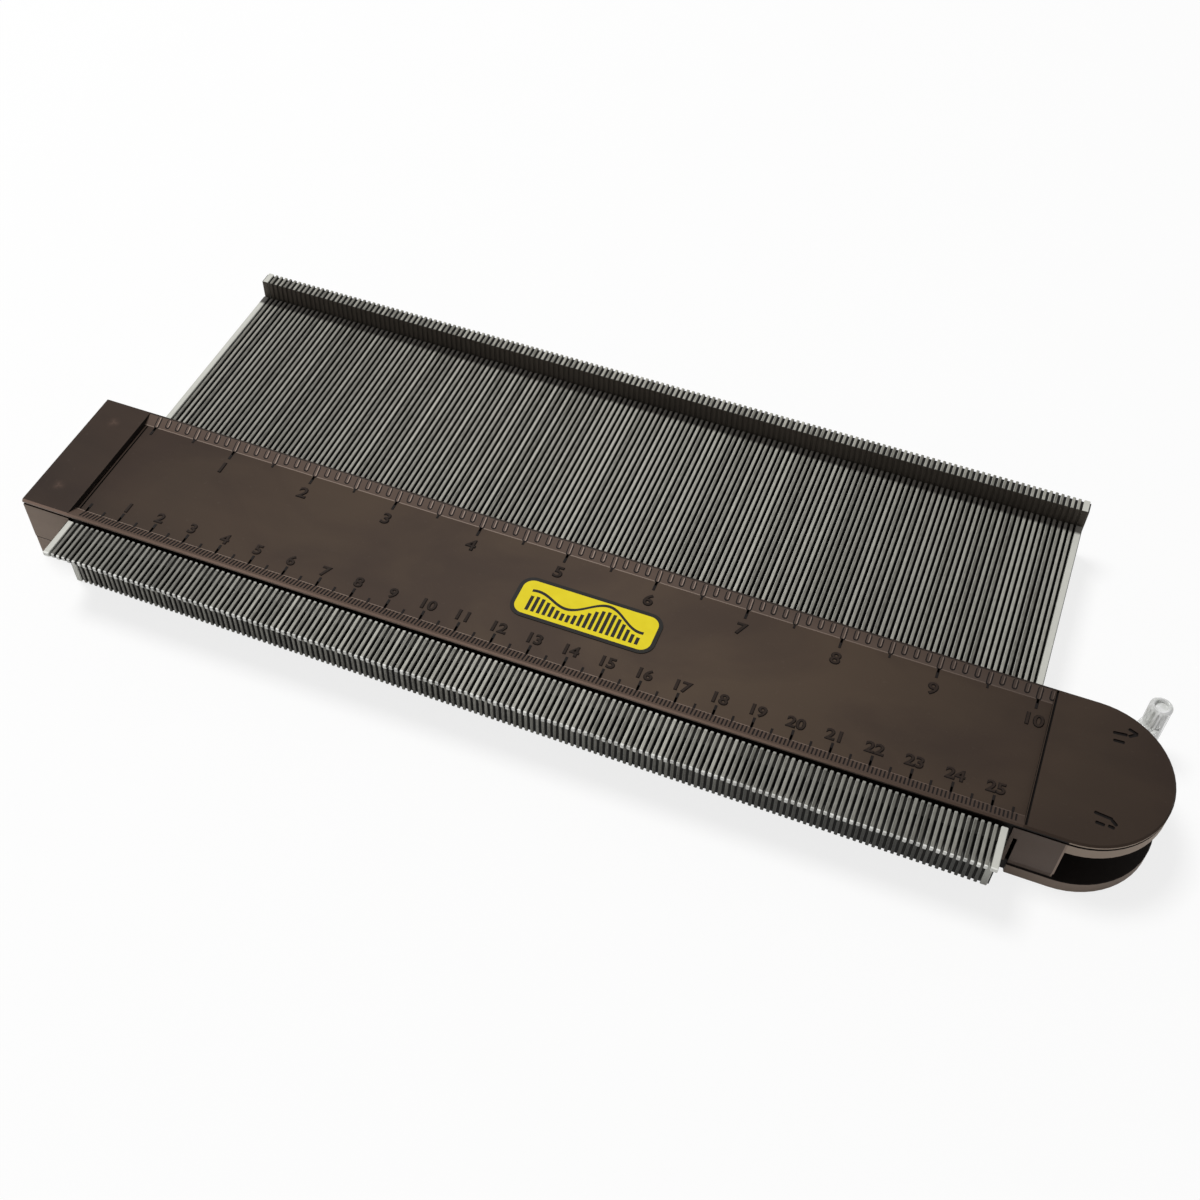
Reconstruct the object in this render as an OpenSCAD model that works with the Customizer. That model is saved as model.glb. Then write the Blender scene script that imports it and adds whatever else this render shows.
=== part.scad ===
// Contour gauge: a stack of thin pins slides through a long two-shell body.
// X runs along the rule, Y towards the long pin tails, Z up from the resting face.

/* [Body] */
// Length of the body over both ends
body_len = 308; // [250:1:340]
// Width of the body, also the diameter of its round end
body_w = 43; // [40:0.5:48]
// Thickness of the body
body_h = 22; // [21.5:0.5:24]
// Length of the flat pad at the square end
pad_len = 14.25; // [13:0.25:18]
// Height of the parting line at the square end
parting_z = 7.3; // [6.8:0.1:8]
// Depth of the rule tray below the rim
tray_depth = 1.5; // [1:0.1:1.6]
// Width of each sloped graduation strip beside the tray
strip_w = 4.1; // [3:0.1:5]
// Width of the flat top of the rim
rim_flat = 0.4; // [0.2:0.1:0.8]
// Thickness of the plate under the rule tray
plate_t = 2; // [1.6:0.1:2.4]
// Thickness of the floor of the lower shell
floor_t = 2.2; // [1.8:0.1:3]
// Depth of the guide ribs behind the front and rear faces
rib_t = 3.5; // [3:0.1:4]
// Chamfer along the outer edges
edge_cut = 0.5; // [0.3:0.1:0.8]
// Overhang of the top edge over the shadow groove
lip_out = 1; // [0.8:0.1:1.2]
// Thickness of that overhanging top edge
lip_t = 1; // [0.8:0.1:1.2]
// Height of the shadow groove under the top edge
groove_h = 0.7; // [0.5:0.1:0.9]

/* [Clamp end] */
// Height of the underside of the lever slot
slot_low = 4.1; // [3.6:0.1:4.4]
// Height of the top of the lever slot
slot_high = 16.9; // [16.6:0.1:17.4]
// Thickness of the side panels beside the lever hub
panel_t = 2.5; // [2:0.1:3]
// Height at which the side panels end
panel_low = 6.5; // [6:0.1:7]
// Setback of the ledge under the side panels
ledge_in = 0.6; // [0.4:0.1:0.9]
// Radius of the lever pivot pin
pivot_r = 2.5; // [2:0.1:3]
// Radius of the ring that carries the lever hub
ring_r = 4.6; // [4:0.1:5]
// Height of that ring above the slot floor
ring_h = 0.9; // [0.5:0.1:1]
// Height of the lever hub
hub_h = 11.5; // [9:0.1:11.5]
// Least radius of the lever hub; it grows to fill what the pin stack leaves over
hub_min = 10.8; // [9:0.1:11]
// Offset of the hub centre from the pivot, which makes it a cam
cam_offset = 0.36; // [0.3:0.02:0.4]
// Clear space left between the cam and the clamp shoe
cam_gap = 0.35; // [0.3:0.05:0.5]
// Distance from the pivot to the upright finger post
post_reach = 31.8; // [29:0.2:34]
// Radius of the finger post
post_r = 3; // [2.5:0.1:3.4]
// Height of the top of the finger post
post_top = 19.6; // [19:0.2:24]
// Chamfer round the top of the finger post
post_edge = 0.7; // [0.4:0.1:1]
// Angle of the lever arm at rest, from the length axis
lever_angle = 62; // [55:1:66]
// Height of the lever arm above the ring
arm_lift = 2; // [1.5:0.1:3]
// Thickness of the lever arm
arm_t = 6; // [5:0.2:7]
// Width of the lever arm
arm_w = 5.4; // [4:0.2:5.8]
// Thickness of the clamp shoe
shoe_t = 1; // [0.8:0.1:1.3]
// Width of the slit between the shoe and the side panels
shoe_slit = 0.9; // [0.7:0.1:1]
// Distance the clamp shoe moves when the lever is thrown
shoe_travel = 0.55; // [0.4:0.05:0.6]
// Space left between the thrown shoe and the last pin
shoe_rest_gap = 0.2; // [0.15:0.05:0.3]

/* [Pins] */
// Number of pin groups
group_count = 40; // [40:1:40]
// Distance from pin to pin
pin_pitch = 1.606; // [1.58:0.002:1.61]
// Gap between the spacing ribs of neighbouring pins
pin_gap = 0.15; // [0.1:0.01:0.2]
// Thickness of the pin blade beside its spacing rib
blade_t = 0.9; // [0.8:0.05:1.3]
// Height of the underside of the spacing rib
rib_low = 8; // [7:0.5:9]
// Height of the top of the spacing rib
rib_high = 13; // [11:0.5:14]
// Distance of the upright spacing webs from the edges of the head and the tab
web_in = 0.4; // [0.3:0.1:0.6]
// Extra thickness of the first and the last pin
end_pin_extra = 0.8; // [0.5:0.1:0.9]
// Height of the underside of the pin shank
shank_low = 5; // [4.9:0.1:5.5]
// Height of the top of the pin shank
shank_high = 15.9; // [15:0.1:16]
// Height of the top of the pin nose
nose_top = 20.3; // [19.9:0.1:20.3]
// Height of the underside of the pin foot
foot_low = 0.2; // [0.2:0.1:0.6]
// Depth of the pin foot, front to back
foot_d = 4.5; // [4:0.1:7]
// Reach of the nose in front of the foot
nose_reach = 7.7; // [6:0.1:9]
// Thickness of the nose at its tip
nose_tip = 1.2; // [0.8:0.1:1.6]
// Height of the root of the nose on the foot
nose_root = 11.5; // [10:0.1:13]
// Length of the shank from the head to the rear tab
shank_len = 107.5; // [95:0.5:115]
// Thickness of the rear tab
tab_t = 4.3; // [3.5:0.1:5]
// Height of the rear tab above the shank
tab_h = 5.4; // [4.5:0.1:6]
// Side of the small relief at the foot of the rear tab
relief = 0.7; // [0.4:0.1:0.9]

/* [Fasteners and label] */
// Radius of the screw shank
screw_r = 1.2; // [1:0.1:1.4]
// Radius of the screw head
screw_head_r = 2.3; // [2:0.1:2.6]
// Height of the screw head
screw_head_h = 1.4; // [1.2:0.1:1.6]
// Depth of the head below the resting face
screw_sunk = 0.6; // [0.4:0.1:0.7]
// Side of the square driver recess
driver_side = 1.5; // [1.2:0.1:1.8]
// Height reached by the screw tips
screw_top = 15; // [13:0.5:16]
// Distance of the screws at the square end from the centre line
screw_y_square = 11; // [9:0.5:13]
// Distance of the screws at the round end from the centre line
screw_y_round = 15.4; // [15:0.1:15.8]
// Distance of the screws at the round end from the pivot
screw_x_round = 5.6; // [5:0.2:6.2]
// Radius of the screw bosses at the round end
boss_r = 3.1; // [2.8:0.1:3.3]
// Length of the printed label
label_len = 40; // [28:1:44]
// Width of the printed label
label_w = 13.5; // [10:0.5:16]
// Distance of the label from the middle of the body
label_x = 3; // [-20:0.5:20]
// Thickness of the printed label
label_t = 0.25; // [0.2:0.05:0.4]
// Radius of the label corners
label_corner = 4; // [1:0.5:4.5]

/* [Clearances] */
// Running gap above, below and behind the sliding pins
slide_gap = 0.1; // [0.05:0.05:0.2]
// Gap at rest between the pin heads and the face they stop on
head_gap = 1.6; // [0.3:0.1:2]
// Setback of the clamp shoe from the sides of the body
shoe_in = 0.3; // [0.2:0.1:0.6]
// Gap between the first pin and the square end block
stack_gap = 0.2; // [0.1:0.05:0.3]
// Radial clearance of a seated pin or screw
seat_gap = 0.04; // [0.02:0.01:0.06]
// Radial clearance of the lever on its pivot
turn_gap = 0.08; // [0.05:0.01:0.1]
// Radial clearance of a screw in the lower shell
screw_gap = 0.3; // [0.2:0.05:0.4]

/* [Hidden] */
$fn = 64;
half_w = body_w / 2;
body_x0 = -body_len / 2;
end_x = body_len / 2 - half_w;
cavity_x0 = body_x0 + pad_len;
pin_t = pin_pitch - pin_gap;
rib_side = (pin_t - blade_t) / 2;
stack_x0 = cavity_x0 + stack_gap;
clamp_room = hub_min - cam_offset + cam_gap + shoe_t + shoe_travel + shoe_rest_gap;
pin_room = end_x - clamp_room - stack_x0 - 2 * end_pin_extra;
pin_total = floor((pin_room + pin_gap) / pin_pitch);
stack_len = pin_total * pin_pitch - pin_gap + 2 * end_pin_extra;
shoe_x0 = stack_x0 + stack_len + shoe_rest_gap + shoe_travel;
shoe_x1 = shoe_x0 + shoe_t;
cavity_len = stack_gap + stack_len + shoe_rest_gap + shoe_travel + shoe_t + shoe_slit;
cavity_x1 = cavity_x0 + cavity_len;
chamber_len = end_x - cavity_x1;
hub_r = end_x - shoe_x1 - cam_gap + cam_offset;
wall_y = half_w - lip_out;
tray_y = half_w - strip_w;
tray_z = body_h - tray_depth;
groove_top = body_h - lip_t;
groove_low = groove_top - groove_h;
head_y = -wall_y - head_gap;
foot_y = head_y - foot_d;
nose_y = foot_y - nose_reach;
tab_y = head_y + shank_len;
guide_high = shank_high + slide_gap;
guide_low = shank_low - slide_gap;
hub_low = slot_low + ring_h + slide_gap;
arm_low = hub_low + arm_lift;
pivot_low = slot_low / 2;
pivot_high = (slot_high + body_h) / 2;
square_screw_x = body_x0 + pad_len / 2;
round_screw_x = end_x - screw_x_round;
ledge_t = panel_t - ledge_in;
ledge_y = half_w - ledge_in - ledge_t / 2;
shoe_y = half_w - shoe_in;
brow_y = half_w - panel_t / 2;
cut = 1;

// A bar along X from a start over a length, whose section is drawn in Y and Z.
module bar(x0, len) {
  translate([x0, 0, 0])
    rotate([90, 0, 90])
      linear_extrude(len)
        children();
}

// Half a turn of a section drawn in radius and Z, about the pivot axis.
module half_turn() {
  translate([cavity_x1 + chamber_len, 0, 0])
    rotate([0, 0, -90])
      rotate_extrude(angle = 180)
        children();
}

// Places its children at the four screw positions.
module at_screws() {
  for (side = [-1, 1]) {
    translate([square_screw_x, side * screw_y_square, 0])
      children();
    translate([round_screw_x, side * screw_y_round, 0])
      children();
  }
}

// Section of the upper shell at the square end, solid down to the parting line.
module pad_section() {
  polygon([[-half_w, parting_z], [half_w, parting_z], [half_w, groove_low],
    [wall_y + lip_out / 2, groove_low], [wall_y + lip_out / 2, groove_top], [half_w, groove_top],
    [half_w, body_h - edge_cut], [half_w - edge_cut, body_h], [-half_w + edge_cut, body_h],
    [-half_w, body_h - edge_cut], [-half_w, groove_top], [-wall_y - lip_out / 2, groove_top],
    [-wall_y - lip_out / 2, groove_low], [-half_w, groove_low]]);
}

// Section of the upper shell over the pins: tray, sloped strips, rims and guide ribs.
module span_section() {
  polygon([[-half_w, groove_top], [-half_w, body_h - edge_cut], [-half_w + rim_flat, body_h],
    [-tray_y, tray_z], [tray_y, tray_z], [half_w - rim_flat, body_h], [half_w, body_h - edge_cut],
    [half_w, groove_top], [wall_y, groove_top], [wall_y, guide_high], [wall_y - rib_t, guide_high],
    [wall_y - rib_t, tray_z - plate_t], [rib_t - wall_y, tray_z - plate_t], [rib_t - wall_y, guide_high],
    [-wall_y, guide_high], [-wall_y, groove_top]]);
}

// Section of the upper shell beside the lever hub: a roof with two side panels.
module chamber_section() {
  polygon([[-half_w, panel_low], [-half_w, groove_low], [-wall_y, groove_low], [-wall_y, groove_top],
    [-half_w, groove_top], [-half_w, body_h - edge_cut], [-half_w + edge_cut, body_h],
    [half_w - edge_cut, body_h], [half_w, body_h - edge_cut], [half_w, groove_top], [wall_y, groove_top],
    [wall_y, groove_low], [half_w, groove_low], [half_w, panel_low], [half_w - panel_t, panel_low],
    [half_w - panel_t, slot_high], [panel_t - half_w, slot_high], [panel_t - half_w, panel_low]]);
}

// Section of the round end above the lever slot.
module roof_section() {
  polygon([[0, slot_high], [half_w, slot_high], [half_w, groove_low], [wall_y + lip_out / 2, groove_low],
    [wall_y + lip_out / 2, groove_top], [half_w, groove_top], [half_w, body_h - edge_cut],
    [half_w - edge_cut, body_h], [0, body_h]]);
}

// Section of the lower shell under the pins: a floor with two guide ribs.
module floor_section() {
  polygon([[-wall_y + edge_cut, 0], [wall_y - edge_cut, 0], [wall_y, edge_cut], [wall_y, guide_low],
    [wall_y - rib_t, guide_low], [wall_y - rib_t, floor_t], [rib_t - wall_y, floor_t],
    [rib_t - wall_y, guide_low], [-wall_y, guide_low], [-wall_y, edge_cut]]);
}

// Section of a full-width slab of the lower shell up to a given height.
module slab_section(top) {
  polygon([[-half_w + edge_cut, 0], [half_w - edge_cut, 0], [half_w, edge_cut], [half_w, top],
    [-half_w, top], [-half_w, edge_cut]]);
}

// Side view of one pin: nose, foot, shank and rear tab, which also stands down to the resting face.
module pin_side() {
  polygon([[nose_y, nose_top], [head_y, nose_top], [head_y, shank_high], [tab_y - relief, shank_high],
    [tab_y - relief, shank_high - relief], [tab_y, shank_high - relief], [tab_y, shank_high + tab_h],
    [tab_y + tab_t, shank_high + tab_h], [tab_y + tab_t, foot_low], [tab_y, foot_low], [tab_y, shank_low],
    [head_y, shank_low], [head_y, foot_low], [foot_y, foot_low], [foot_y, nose_root],
    [nose_y, nose_top - nose_tip]]);
}

// Side view of the spacing rib: a bar along the shank with an upright web in the head and in the tab.
module rib_side_view() {
  polygon([[foot_y + web_in, foot_low + web_in], [head_y - web_in, foot_low + web_in],
    [head_y - web_in, rib_low], [tab_y + web_in, rib_low], [tab_y + web_in, foot_low + web_in],
    [tab_y + tab_t - web_in, foot_low + web_in], [tab_y + tab_t - web_in, shank_high + tab_h - web_in],
    [tab_y + web_in, shank_high + tab_h - web_in], [tab_y + web_in, rib_high], [head_y - web_in, rib_high],
    [head_y - web_in, nose_top - web_in], [foot_y + web_in, nose_top - web_in]]);
}

module upper_shell() {
  color([0.25, 0.21, 0.19])
    difference() {
      union() {
        bar(body_x0, pad_len)
          pad_section();
        bar(cavity_x0, cavity_len)
          span_section();
        bar(cavity_x1, chamber_len)
          chamber_section();
        half_turn()
          roof_section();
        for (side = [-1, 1]) {
          translate([round_screw_x, side * screw_y_round, slot_low])
            cylinder(r = boss_r, h = slot_high - slot_low + cut);
          translate([shoe_x0, side * brow_y - panel_t / 2, guide_high])
            cube([cavity_x1 - shoe_x0 + cut, panel_t, groove_low - guide_high]);
        }
      }
      at_screws()
        translate([0, 0, -cut])
          cylinder(r = screw_r + seat_gap, h = screw_top + slide_gap + cut);
      translate([end_x, 0, slot_high - cut])
        cylinder(r = pivot_r + seat_gap, h = pivot_high + slide_gap - slot_high + cut);
    }
}

module lower_shell() {
  color([0.24, 0.20, 0.18])
    difference() {
      union() {
        bar(body_x0, pad_len)
          slab_section(parting_z);
        bar(cavity_x0, cavity_len)
          floor_section();
        bar(cavity_x1, chamber_len)
          slab_section(slot_low);
        half_turn()
          polygon([[0, 0], [half_w - edge_cut, 0], [half_w, edge_cut], [half_w, slot_low], [0, slot_low]]);
        for (side = [-1, 1])
          translate([cavity_x1, side * ledge_y - ledge_t / 2, floor_t])
            cube([chamber_len, ledge_t, panel_low - floor_t]);
        translate([end_x, 0, floor_t])
          cylinder(r = ring_r, h = slot_low + ring_h - floor_t);
      }
      at_screws() {
        translate([0, 0, -cut])
          cylinder(r = screw_r + screw_gap, h = parting_z + 2 * cut);
        translate([0, 0, -cut])
          cylinder(r = screw_head_r + screw_gap, h = screw_sunk + screw_head_h + cut);
      }
      translate([end_x, 0, pivot_low])
        cylinder(r = pivot_r + seat_gap, h = slot_low + ring_h - pivot_low + cut);
    }
}

module shell_screws() {
  color([0.62, 0.62, 0.64])
    at_screws()
      difference() {
        union() {
          translate([0, 0, screw_sunk])
            cylinder(r = screw_head_r, h = screw_head_h);
          translate([0, 0, screw_sunk])
            cylinder(r = screw_r, h = screw_top - screw_sunk);
        }
        translate([-driver_side / 2, -driver_side / 2, screw_sunk - cut])
          cube([driver_side, driver_side, screw_head_h / 2 + cut]);
      }
}

module lever_pivot() {
  color([0.70, 0.70, 0.72])
    translate([end_x, 0, pivot_low])
      cylinder(r = pivot_r, h = pivot_high - pivot_low);
}

module clamp_lever() {
  color([0.80, 0.82, 0.82])
    translate([end_x, 0, 0])
      difference() {
        union() {
          translate([cam_offset, 0, hub_low])
            cylinder(r = hub_r, h = hub_h);
          rotate([0, 0, lever_angle]) {
            translate([0, -arm_w / 2, arm_low])
              cube([post_reach, arm_w, arm_t]);
            translate([post_reach, 0, 0])
              rotate_extrude()
                polygon([[0, arm_low], [post_r, arm_low], [post_r, post_top - post_edge],
                  [post_r - post_edge, post_top], [0, post_top]]);
          }
        }
        translate([0, 0, hub_low - cut])
          cylinder(r = pivot_r + turn_gap, h = hub_h + 2 * cut);
      }
}

module clamp_shoe() {
  color([0.27, 0.23, 0.20])
    translate([shoe_x0, -shoe_y, shank_low])
      cube([shoe_t, 2 * shoe_y, shank_high - shank_low]);
}

module label_plate() {
  color([0.90, 0.84, 0.10])
    translate([label_x, 0, tray_z])
      linear_extrude(label_t)
        union() {
          square([label_len - 2 * label_corner, label_w], center = true);
          square([label_len, label_w - 2 * label_corner], center = true);
          for (sx = [-1, 1])
            for (sy = [-1, 1])
              translate([sx * (label_len / 2 - label_corner), sy * (label_w / 2 - label_corner)])
                circle(r = label_corner);
        }
}

// One group of neighbouring pins; the outermost pins of the stack are thicker.
module pins(group) {
  first = floor((group - 1) * pin_total / group_count);
  last = floor(group * pin_total / group_count) - 1;
  color([0.46, 0.47, 0.46])
    for (index = [first : last]) {
      lead = index == 0 ? 0 : end_pin_extra;
      extra = index == 0 || index == pin_total - 1 ? end_pin_extra : 0;
      x0 = stack_x0 + index * pin_pitch + lead;
      union() {
        bar(x0 + rib_side, blade_t + extra)
          pin_side();
        bar(x0, pin_t + extra)
          rib_side_view();
      }
    }
}

upper_shell();
lower_shell();
shell_screws();
lever_pivot();
clamp_lever();
clamp_shoe();
label_plate();
pins(1);  // pins_01
pins(2);  // pins_02
pins(3);  // pins_03
pins(4);  // pins_04
pins(5);  // pins_05
pins(6);  // pins_06
pins(7);  // pins_07
pins(8);  // pins_08
pins(9);  // pins_09
pins(10);  // pins_10
pins(11);  // pins_11
pins(12);  // pins_12
pins(13);  // pins_13
pins(14);  // pins_14
pins(15);  // pins_15
pins(16);  // pins_16
pins(17);  // pins_17
pins(18);  // pins_18
pins(19);  // pins_19
pins(20);  // pins_20
pins(21);  // pins_21
pins(22);  // pins_22
pins(23);  // pins_23
pins(24);  // pins_24
pins(25);  // pins_25
pins(26);  // pins_26
pins(27);  // pins_27
pins(28);  // pins_28
pins(29);  // pins_29
pins(30);  // pins_30
pins(31);  // pins_31
pins(32);  // pins_32
pins(33);  // pins_33
pins(34);  // pins_34
pins(35);  // pins_35
pins(36);  // pins_36
pins(37);  // pins_37
pins(38);  // pins_38
pins(39);  // pins_39
pins(40);  // pins_40
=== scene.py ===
# %% [markdown]
# # A contour gauge
# A contour gauge copies the outline of a skirting board or a pipe. A long body holds a stack of thin
# plastic pins, and a cam lever at its round end squeezes the stack so that the copied shape stays.
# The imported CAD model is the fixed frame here. Every piece below is made around it, at its real size.

# %% Load the frame
import math

import bpy
from mathutils import Matrix, Vector


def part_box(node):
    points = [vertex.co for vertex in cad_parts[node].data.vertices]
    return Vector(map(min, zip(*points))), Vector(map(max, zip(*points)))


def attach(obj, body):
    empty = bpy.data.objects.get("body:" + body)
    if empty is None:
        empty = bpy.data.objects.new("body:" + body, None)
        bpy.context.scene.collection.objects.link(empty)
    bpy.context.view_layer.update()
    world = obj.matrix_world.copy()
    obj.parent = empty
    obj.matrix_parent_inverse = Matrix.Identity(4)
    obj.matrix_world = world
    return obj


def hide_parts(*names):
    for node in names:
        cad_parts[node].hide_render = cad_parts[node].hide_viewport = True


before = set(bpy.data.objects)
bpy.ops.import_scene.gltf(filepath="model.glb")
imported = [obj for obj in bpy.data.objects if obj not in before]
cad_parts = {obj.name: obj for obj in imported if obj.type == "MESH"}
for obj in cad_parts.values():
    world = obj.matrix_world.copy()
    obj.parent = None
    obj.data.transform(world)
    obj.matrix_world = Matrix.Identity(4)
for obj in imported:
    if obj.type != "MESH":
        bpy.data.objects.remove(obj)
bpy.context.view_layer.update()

# %% [markdown]
# The sizes are real millimetres. Where a CAD node shows a size, it is read from the frame. The rest are
# the few values that a drawing of the pins and of the body would carry.

# %% Sizes of the pins
MM = 0.001


def span(node):
    """Lowest and highest corner of a CAD node, in millimetres."""
    low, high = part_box(node)
    return low / MM, high / MM


pins_per_group = 4
group_count = sum(1 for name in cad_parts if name.startswith("pins_"))
pin_count = group_count * pins_per_group
pin_low, pin_high = span("pins_02")
end_low, end_high = span("pins_01")
pin_gap = 0.15
pin_pitch = (pin_high.x - pin_low.x + pin_gap) / pins_per_group
pin_width = pin_pitch - pin_gap
end_extra = end_high.x - end_low.x + pin_gap - pins_per_group * pin_pitch
stack_start = end_low.x
nose_front, tab_back = pin_low.y, pin_high.y
foot_low, tab_high = pin_low.z, pin_high.z
head_back, tab_front = -22.1, 85.4
nose_root = 11.5
print(f"{pin_count} pins, pitch {pin_pitch:.3f} mm, end pins {end_extra:.2f} mm thicker")

# %% [markdown]
# The rule tray runs from just before the first pin to the slit beside the clamp shoe. Each of its two
# scales starts at its own zero.

# %% Sizes of the body
shell_low, shell_high = span("upper_shell")
pivot = (sum(span("lever_pivot"), Vector()) / 2).xy
stack_play = 0.2
shoe_slit = 0.9
tray_start = stack_start - stack_play
tray_end = span("clamp_shoe")[1].x + shoe_slit
tray_half, rim_half = 17.4, 21.1
inch = 25.4
cm_zero, inch_zero = -136.5, -136.1
print(f"rule tray from {tray_start:.1f} to {tray_end:.1f} mm")

# %% [markdown]
# Modelling by hand is a short round: select some faces or edges, then run one tool on them. These
# helpers do that round in code. They pick by place or by direction, so nothing depends on an index.

# %% Selection
def focus(piece):
    """Makes one object the only selected and the active one."""
    bpy.ops.object.select_all(action="DESELECT")
    piece.select_set(True)
    bpy.context.view_layer.objects.active = piece


def enter(piece, mode):
    """Opens a mesh in edit mode with nothing selected."""
    focus(piece)
    bpy.ops.object.mode_set(mode="EDIT")
    bpy.ops.mesh.select_mode(type=mode)
    bpy.ops.mesh.select_all(action="DESELECT")


def leave():
    """Closes edit mode."""
    bpy.ops.object.mode_set(mode="OBJECT")


def choose(piece, mode, test):
    """Opens a mesh in edit mode with the items selected that pass a test on millimetre vectors."""
    enter(piece, mode)
    leave()
    mesh = piece.data
    if mode == "FACE":
        for face in mesh.polygons:
            face.select = test(face.center / MM, face.normal)
    elif mode == "EDGE":
        for edge in mesh.edges:
            start, stop = (mesh.vertices[index].co / MM for index in edge.vertices)
            edge.select = test(start, stop)
    else:
        for vertex in mesh.vertices:
            vertex.select = test(vertex.co / MM)
    bpy.ops.object.mode_set(mode="EDIT")


print("selection helpers ready")

# %% [markdown]
# Most shapes here start as a block and grow by pulling faces out. A piece that is made somewhere else has
# its place applied to its mesh, so that every finished object sits at the origin.

# %% Modelling
def settle():
    """Applies the place, turn and scale of the selected object to its mesh."""
    bpy.ops.object.transform_apply(location=True, rotation=True, scale=True)


def block(name, low, high):
    """A cube stretched between two corners given in millimetres."""
    low, high = Vector(low) * MM, Vector(high) * MM
    bpy.ops.mesh.primitive_cube_add(size=1, location=(low + high) / 2, scale=high - low)
    piece = bpy.context.object
    piece.name = name
    settle()
    return piece


def pull(piece, test, step):
    """Extrudes the chosen faces by a step in millimetres."""
    choose(piece, "FACE", test)
    bpy.ops.mesh.extrude_region_move(TRANSFORM_OT_translate={"value": [value * MM for value in step]})
    leave()


def bevel(piece, test, width, segments):
    """Bevels the chosen edges by a width in millimetres."""
    choose(piece, "EDGE", test)
    bpy.ops.mesh.bevel(offset=width * MM, segments=segments, affect="EDGES")
    leave()


def apply_modifier(piece, kind, **settings):
    """Adds a modifier with its settings and applies it."""
    focus(piece)
    modifier = piece.modifiers.new(kind.title(), kind)
    for name, value in settings.items():
        setattr(modifier, name, value)
    bpy.ops.object.modifier_apply(modifier=modifier.name)


def smooth(piece, degrees):
    """Shades a mesh smooth, apart from edges sharper than an angle."""
    focus(piece)
    bpy.ops.object.shade_smooth_by_angle(angle=math.radians(degrees))


print("modelling helpers ready")

# %% [markdown]
# A finished piece is joined from its parts, painted, and tied to the body that it moves with. Paint goes
# on by zones: a test on the place and direction of a face says which finish it gets.

# %% Joining, painting and fitting
def join(name, pieces):
    """Joins several objects into one named piece."""
    focus(pieces[0])
    for piece in pieces[1:]:
        piece.select_set(True)
    if len(pieces) > 1:
        bpy.ops.object.join()
    whole = bpy.context.object
    whole.name = name
    return whole


def paint(piece, finish, *zones):
    """Covers a mesh in one finish, and each zone's faces, picked by a test, in the zone's own."""
    mesh = piece.data
    mesh.materials.clear()
    for material in (finish, *(zone[0] for zone in zones)):
        mesh.materials.append(material)
    for face in mesh.polygons:
        hits = [number for number, zone in enumerate(zones, 1) if zone[1](face.center / MM, face.normal)]
        face.material_index = hits[0] if hits else 0


def fit(piece, body, slot, *nodes):
    """Ties a finished piece to its body and hides the CAD nodes that it stands for."""
    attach(piece, body)
    if nodes:
        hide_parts(*nodes)
    print(f"{piece.name}: {len(piece.data.polygons)} faces on {body}")


print("fitting helpers ready")

# %% [markdown]
# Materials are written as arithmetic. A Wire is one output socket of a node tree. Adding or
# multiplying wires adds Math nodes, and the node method makes any other node. It reads much closer
# to a formula than a list of nodes and links does.

# %% Shader wires
class Wire:
    """An output socket; arithmetic on it adds Math nodes to the same tree."""

    def __init__(self, tree, socket=None):
        self.tree = tree
        self.socket = socket

    def node(self, kind, settings, sockets, output=0):
        """Adds a node: its settings first, then values or links of its sockets."""
        made = self.tree.nodes.new(kind)
        for name, value in settings.items():
            if name == "stops":
                set_stops(made.color_ramp, value)
            else:
                setattr(made, name, value)
        for key, value in sockets.items():
            if isinstance(value, Wire):
                self.tree.links.new(value.socket, made.inputs[key])
            else:
                made.inputs[key].default_value = value
        return Wire(self.tree, made.outputs[output])

    def math(self, operation, *others):
        """Adds a Math node on this wire and other wires or numbers."""
        return self.node("ShaderNodeMath", {"operation": operation}, dict(enumerate((self, *others))))

    def __add__(self, other):
        return self.math("ADD", other)

    __radd__ = __add__

    def __sub__(self, other):
        return self.math("SUBTRACT", other)

    def __rsub__(self, other):
        return self.node("ShaderNodeMath", {"operation": "SUBTRACT"}, {0: other, 1: self})

    def __mul__(self, other):
        return self.math("MULTIPLY", other)

    __rmul__ = __mul__

    def __truediv__(self, other):
        return self.math("DIVIDE", other)

    def __lt__(self, other):
        return self.math("LESS_THAN", other)

    def __gt__(self, other):
        return self.math("GREATER_THAN", other)

    def __abs__(self):
        return self.math("ABSOLUTE")


def set_stops(ramp, stops):
    """Replaces the stops of a colour ramp by (place, grey value) pairs."""
    while len(ramp.elements) > 1:
        ramp.elements.remove(ramp.elements[-1])
    for number, (place, value) in enumerate(stops):
        element = ramp.elements[0] if number == 0 else ramp.elements.new(place)
        element.position = place
        element.color = (value, value, value, 1)


print("shader wires ready")

# %% [markdown]
# A Finish is one material. It offers what every recipe below needs: the place of a surface point in
# millimetres, the way the surface faces, noise, ramps, mixes and bump.

# %% Finishes
def colour(code):
    """A linear colour with alpha from an sRGB hex code."""
    channels = [int(code[place:place + 2], 16) / 255 for place in (0, 2, 4)]
    linear = [c / 12.92 if c <= 0.04045 else ((c + 0.055) / 1.055) ** 2.4 for c in channels]
    return (*linear, 1)


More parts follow.
